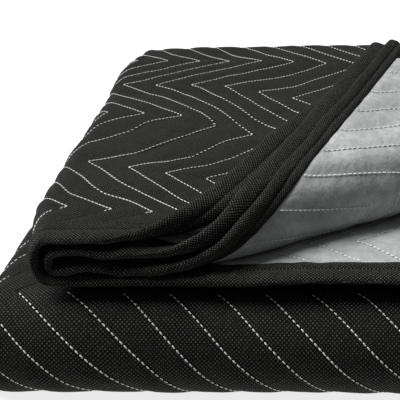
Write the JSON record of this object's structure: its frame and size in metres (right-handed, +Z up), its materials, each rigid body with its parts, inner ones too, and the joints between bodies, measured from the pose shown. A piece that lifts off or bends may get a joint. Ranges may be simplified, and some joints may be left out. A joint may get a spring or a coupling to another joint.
{
  "type": "moving pad",
  "caption": "Quilted moving pad for covering furniture, folded into a flat pile with its bound edges to the front and one top corner turned back.",
  "frame": {"origin": "on the surface that it lies on, under the middle of the whole pile's outline", "axes": "+Z up, +Y to the back, away from the bound front edges, +X to the right, towards the turned corner"},
  "size_m": [0.5404, 0.6315, 0.2101],
  "materials": {
    "woven_black": "matt",
    "binding_black": "matt"
  },
  "bodies": {
    "root": {"quilted_pad": "woven_black", "front_edge_binding": "binding_black", "back_edge_binding": "binding_black", "lower_side_binding": "binding_black", "flap_side_binding": "binding_black"}
  },
  "joints": []
}
